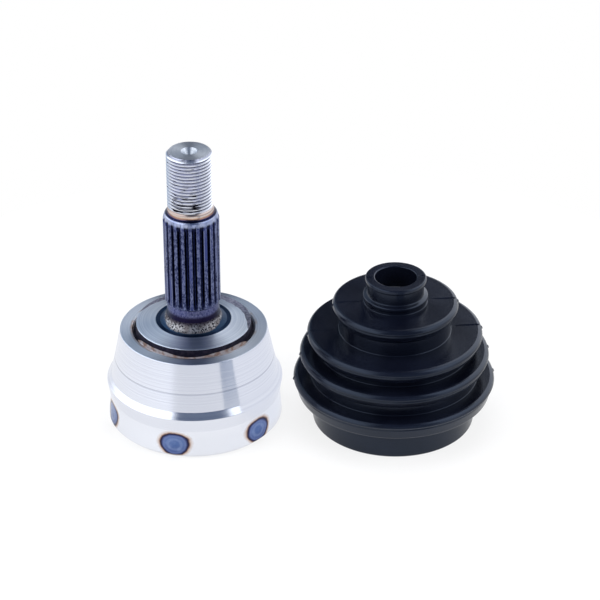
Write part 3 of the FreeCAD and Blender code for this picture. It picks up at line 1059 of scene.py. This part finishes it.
def moulded_rubber():
    material, tree, shader = finish("rubber", 0.0, 0.34, (0.004, 0.005, 0.011))
    shader.inputs["Specular IOR Level"].default_value = 0.45
    shader.inputs["Specular Tint"].default_value = (0.6, 0.74, 1.0, 1)
    raw = add_node(tree, "TexCoord", {}).outputs["Object"]
    cloud = noise(tree, raw, 45.0, 3.0)
    grain = noise(tree, raw, 1500.0, 2.0)
    color = mixed(cloud.fade(0.3, 0.7), (0.0018, 0.0024, 0.006), (0.0042, 0.0056, 0.012))
    painted(shader, color, cloud * 0.11 + grain * 0.05 + 0.155)
    relief(shader, cloud * 6 + grain, 0.02)
    return material


boot.data.materials.append(moulded_rubber())
print("boot:", boot.data.materials[0].name)

# %% [markdown]
# ## Studio
# Steel shows what is round it, so the studio is drawn for its reflections: a white ground, a bright
# panel at the left and one at the right, a dim and a bright one at the back, and dark gaps between
# them, which draw the dark wedges and bands on the turned faces. All that is in the world for glossy
# rays only. The camera sees plain white, and every other ray meets an even pale grey. Angles are in
# degrees: azimuth 0 is the front, the side of -Y, and +90 is the right.

# %% World
DARK, FRONT_GAP = (0.01, 0.02, 0.048), (0.13, 0.17, 0.26)
BACK_LEFT, BACK_RIGHT = (0.44, 0.55, 0.70), (1.9, 1.95, 2.05)
PANEL, GROUND, EVEN = (1.8, 1.88, 2.0), (0.93, 0.95, 1.0), (0.55, 0.56, 0.58)
world = bpy.data.worlds.new("studio")
bpy.context.scene.world = world
world.use_nodes = True
sky = world.node_tree
direction = add_node(sky, "TexCoord", {}).outputs["Generated"]
east, north, height = (Field(sky, part) for part in add_node(sky, "SeparateXYZ", {0: direction}).outputs)
elevation = height.math("ARCSINE") * (180 / np.pi)
azimuth = east.math("ARCTAN2", north * -1) * (180 / np.pi)
ground = elevation.fade(8, 0)
level = elevation.band(6, 58, 8)
left_panel = azimuth.band(-128, -34, 12) * level
right_panel = azimuth.band(56, 128, 14) * level
back_left = azimuth.band(-162, -128, 6) * elevation.band(8, 50, 9)
back_right = azimuth.band(128, 169, 6) * elevation.band(8, 50, 9)
front = azimuth.band(-34, 56, 10)
tent = mixed(front, DARK, FRONT_GAP)
tent = mixed(back_left, tent, BACK_LEFT)
tent = mixed(back_right, tent, BACK_RIGHT)
tent = mixed(left_panel.most(right_panel), tent, PANEL)
tent = mixed(ground, tent, GROUND)
path = add_node(sky, "LightPath", {}).outputs
by_eye = Field(sky, path["Is Camera Ray"]).most(Field(sky, path["Is Transmission Ray"]))
even = mixed(Field(sky, path["Is Glossy Ray"]), EVEN, tent)
seen = mixed(by_eye, even, (1, 1, 1))
sky.links.new(seen, sky.nodes["Background"].inputs["Color"])
sky.nodes["Background"].inputs["Strength"].default_value = 1.0
print("world:", len(sky.nodes), "nodes")

# %% [markdown]
# The floor is a pale disc that catches the object's shadow. It also glows a little, so that the eye and
# the steel see it as white as the background. From below it is clear, so the underside can be seen.

# %% Floor
FLOOR_RADIUS, FLOOR_CENTRE, GLOW_SHARE = 0.24, (44.0, 0.0), 0.8


def floor_disc(radius, centre, columns=96):
    """Flat disc that faces up: rings of radius t * R from the rim in, closed at the middle."""
    t = np.array([1.0, 0.7, 0.3, 0.0])[:, None]
    around = np.arange(columns) * 2 * np.pi / columns
    flat = turned_grid(t * radius / MM, 0.0 * t, around)
    return flat + np.array([*centre, 0.0])


def show(tree, surface, clear_behind):
    """Makes this the material's surface, and makes it clear from behind where that is asked for."""
    if clear_behind:
        behind = add_node(tree, "NewGeometry", {}).outputs["Backfacing"]
        clear = add_node(tree, "BsdfTransparent", {}).outputs[0]
        surface = add_node(tree, "MixShader", {0: behind, 1: surface, 2: clear}).outputs[0]
    feed(tree, tree.nodes["Material Output"].inputs["Surface"], surface)


floor = grid_mesh("floor", floor_disc(FLOOR_RADIUS, FLOOR_CENTRE))
material, tree, shader = finish("floor_white", 0.0, 0.9, (0.86, 0.87, 0.89))
shader.inputs["Specular IOR Level"].default_value = 0.0
glow = add_node(tree, "Emission", {"Color": (1, 1, 1, 1), "Strength": 1.0}).outputs[0]
ray = add_node(tree, "LightPath", {}).outputs
seen_white = Field(tree, ray["Is Camera Ray"]).most(Field(tree, ray["Is Glossy Ray"]))
share = seen_white.most(Field(tree, ray["Is Transmission Ray"])) * GLOW_SHARE
blend = add_node(tree, "MixShader", {0: share, 1: shader.outputs[0], 2: glow}).outputs[0]
show(tree, blend, clear_behind=True)
floor.data.materials.append(material)

# %% [markdown]
# The two articles stand close together, and the bell is a mirror. A white card stands between them,
# so that the bell's side shows the tent and not the black boot, and a narrow dark card stands in front
# to the right, which draws one soft upright band on the bell. Cards act on reflections only: the
# camera and all other light pass through them, and so does what looks at the back of the white one.

# %% Cards


def card(name, corner, across, height, color, clear_behind):
    """Upright rectangle that only reflections see, from a lower corner along a level vector, in mm."""
    corner, across, up = np.array(corner), np.array(across), np.array([0.0, 0.0, height])
    corners = np.array([corner, corner + across, corner + across + up, corner + up]) * MM
    mesh = bpy.data.meshes.new(name)
    mesh.from_pydata(corners.tolist(), [], [(0, 1, 2, 3)])
    made = in_scene(name, mesh)
    material, tree, shader = finish(name, 0.0, 0.9)
    surface = add_node(tree, "Emission", {"Color": (*color, 1), "Strength": 1.0}).outputs[0]
    show(tree, surface, clear_behind)
    mesh.materials.append(material)
    for ray_kind in ("camera", "diffuse", "transmission", "shadow"):
        setattr(made, "visible_" + ray_kind, False)
    print(name, np.hypot(across[0], across[1]).round(), "by", height, "mm")


card("white_card", (41.4, 90.0, 0.1), (0.0, -132.0, 0.0), 118.0, (0.93, 0.95, 1.0), True)
card("dark_card", (86.0, -122.0, 0.1), (46.0, 44.0, 0.0), 60.0, (0.34, 0.40, 0.52), False)

# %% [markdown]
# Three softboxes give the rubber and the insides their shape. Steel would show them as bright squares,
# so reflections don't see them, and the panels above stand in for them. The camera is far off with a
# long lens, so that the two articles keep their true proportions.

# %% Lights and camera
CAMERA_PLACE, CAMERA_DOWN, CAMERA_TURN, LENS = (0.0422, -0.9034, 0.5779), 29.95, -0.29, 143.0


def softbox(name, place, target, size, power):
    """Square area light at a place, turned to face a target, seen by diffuse surfaces only."""
    data = bpy.data.lights.new(name, "AREA")
    data.size = size
    data.energy = power
    lamp = in_scene(name, data)
    lamp.location = place
    away = np.array(place) - np.array(target)
    flat = np.hypot(away[0], away[1])
    lamp.rotation_euler = (np.arctan2(flat, away[2]), 0, np.arctan2(away[0], -away[1]))
    lamp.visible_glossy = False


softbox("left_box", (-0.55, -0.25, 0.5), (0, 0, 0.03), 0.5, 3.0)
softbox("right_box", (0.65, -0.25, 0.5), (0.09, 0, 0.03), 0.5, 3.0)
softbox("top_box", (0.05, 0.15, 0.8), (0.05, 0, 0), 0.7, 4.0)

camera_data = bpy.data.cameras.new("camera")
camera_data.lens = LENS
camera_data.sensor_width = 36
camera_data.clip_end = 20
camera = in_scene("camera", camera_data)
camera.location = CAMERA_PLACE
camera.rotation_euler = (np.radians(90 - CAMERA_DOWN), 0, np.radians(CAMERA_TURN))
bpy.context.scene.camera = camera
bpy.context.scene.view_settings.view_transform = "Standard"
print("camera:", np.linalg.norm(CAMERA_PLACE).round(3), "m from the origin,", CAMERA_DOWN, "degrees down")
